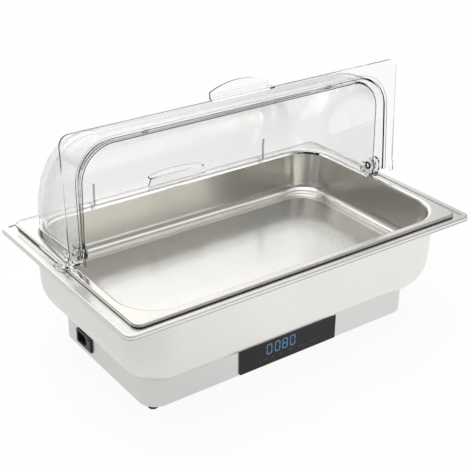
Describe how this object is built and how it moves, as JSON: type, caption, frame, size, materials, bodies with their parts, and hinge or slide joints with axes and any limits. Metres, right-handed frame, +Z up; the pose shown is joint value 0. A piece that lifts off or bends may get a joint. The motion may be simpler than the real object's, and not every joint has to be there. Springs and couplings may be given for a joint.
{
  "type": "electric chafing dish",
  "caption": "Electric chafing dish: stainless water tub on a heated plinth with touch panel, lift-out food pan and clear roll-top cover whose front half turns back over the rear.",
  "frame": {"origin": "on the table under the middle of the pans, in the plane of the feet's undersides", "axes": "+X along the dish to the right of someone facing the control panel, -Y towards that person, +Z up"},
  "size_m": [0.567, 0.3534, 0.3739],
  "materials": {
    "tub_steel": "satin stainless",
    "plinth_steel": "satin stainless",
    "food_steel": "polished stainless",
    "base_steel": "plain steel sheet",
    "screw_steel": "plated",
    "element_steel": "dull sheath",
    "rubber": "matt",
    "panel_black": "gloss",
    "display_black": "matt",
    "black_plastic": "matt",
    "component_black": "matt",
    "white_plastic": "matt",
    "board_green": "semi-gloss",
    "contact_metal": "plated",
    "fuse_glass": "clear",
    "aluminium": "cast",
    "clear_cover": "clear polycarbonate",
    "clear_lid": "clear polycarbonate",
    "clear_pin": "clear polycarbonate"
  },
  "bodies": {
    "base": {"water_pan": "tub_steel", "plinth": "plinth_steel", "base_plate": "base_steel", "feet": "rubber", "foot_screws": "screw_steel", "base_screws": "screw_steel", "panel_glass": "panel_black", "panel_housing": "black_plastic", "display_board": "board_green", "led_display": "display_black", "touch_pads": "contact_metal", "inlet_body": "black_plastic", "inlet_blades": "contact_metal", "heating_plate": "aluminium", "heating_element": "element_steel", "heater_clamps": "base_steel", "clamp_studs": "screw_steel", "thermal_cutout": "component_black", "temperature_probe": "screw_steel", "power_board": "board_green", "board_standoffs": "white_plastic", "board_components": "component_black", "terminal_block": "white_plastic"},
    "food_pan": {"food_pan": "food_steel"},
    "cover": {"rear_cover": "clear_cover", "hinge_pin_left": "clear_pin", "hinge_pin_right": "clear_pin", "hinge_washers": "clear_cover"},
    "lid": {"front_lid": "clear_lid"},
    "fuse_drawer": {"fuse_drawer": "black_plastic", "fuse": "fuse_glass"}
  },
  "joints": [
    {"name": "food_pan_lift", "type": "slide", "parent": "base", "child": "food_pan", "axis": [0, 0, 1], "range_m": [0, 0.08]},
    {"name": "cover_lift", "type": "slide", "parent": "food_pan", "child": "cover", "axis": [0, 0, 1], "range_m": [0, 0.05]},
    {"name": "lid_hinge", "type": "hinge", "parent": "cover", "child": "lid", "pos_m": [0, 0.0017, 0.1921], "axis": [1, 0, 0], "range_deg": [0, 93]},
    {"name": "fuse_drawer_slide", "type": "slide", "parent": "base", "child": "fuse_drawer", "axis": [-1, 0, 0], "range_m": [0, 0.014]}
  ]
}
